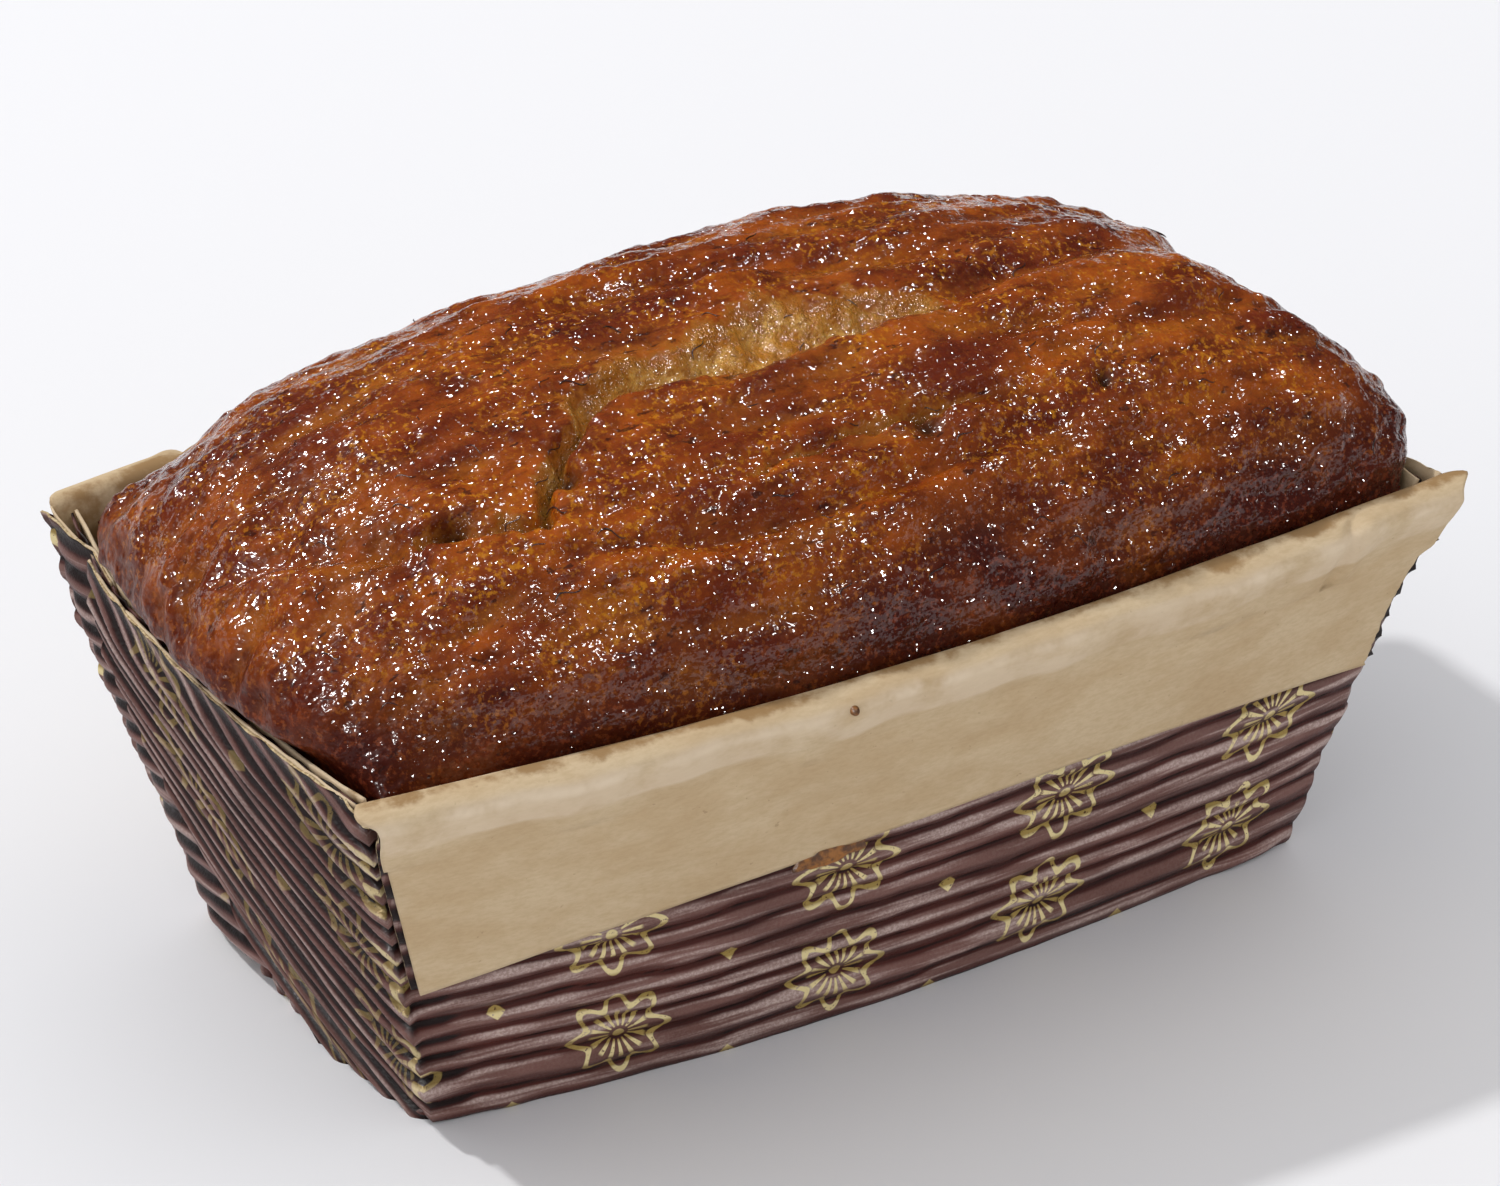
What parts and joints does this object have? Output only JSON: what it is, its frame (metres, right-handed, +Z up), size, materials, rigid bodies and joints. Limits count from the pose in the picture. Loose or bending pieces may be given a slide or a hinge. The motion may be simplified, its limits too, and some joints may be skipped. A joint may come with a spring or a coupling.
{
  "type": "mini banana loaf cake in a paper baking case",
  "caption": "Small glazed banana loaf with a domed, cracked crust, standing in its own fluted brown paper baking case with rolled kraft cuffs.",
  "frame": {"origin": "middle of the footprint, on the surface that the case stands on", "axes": "+X along the loaf's length, +Y across it, away from the side first seen, +Z up"},
  "size_m": [0.137, 0.0804, 0.0737],
  "materials": {
    "crust": "browned, glazed and sticky, caramel to dark red-brown",
    "kraft_paper": "matt uncoated kraft with grease stains near the rim",
    "brown_fluted_paper": null
  },
  "bodies": {
    "root": {"loaf": "crust", "kraft_liner": "kraft_paper", "fluted_ply": "brown_fluted_paper"}
  },
  "joints": []
}
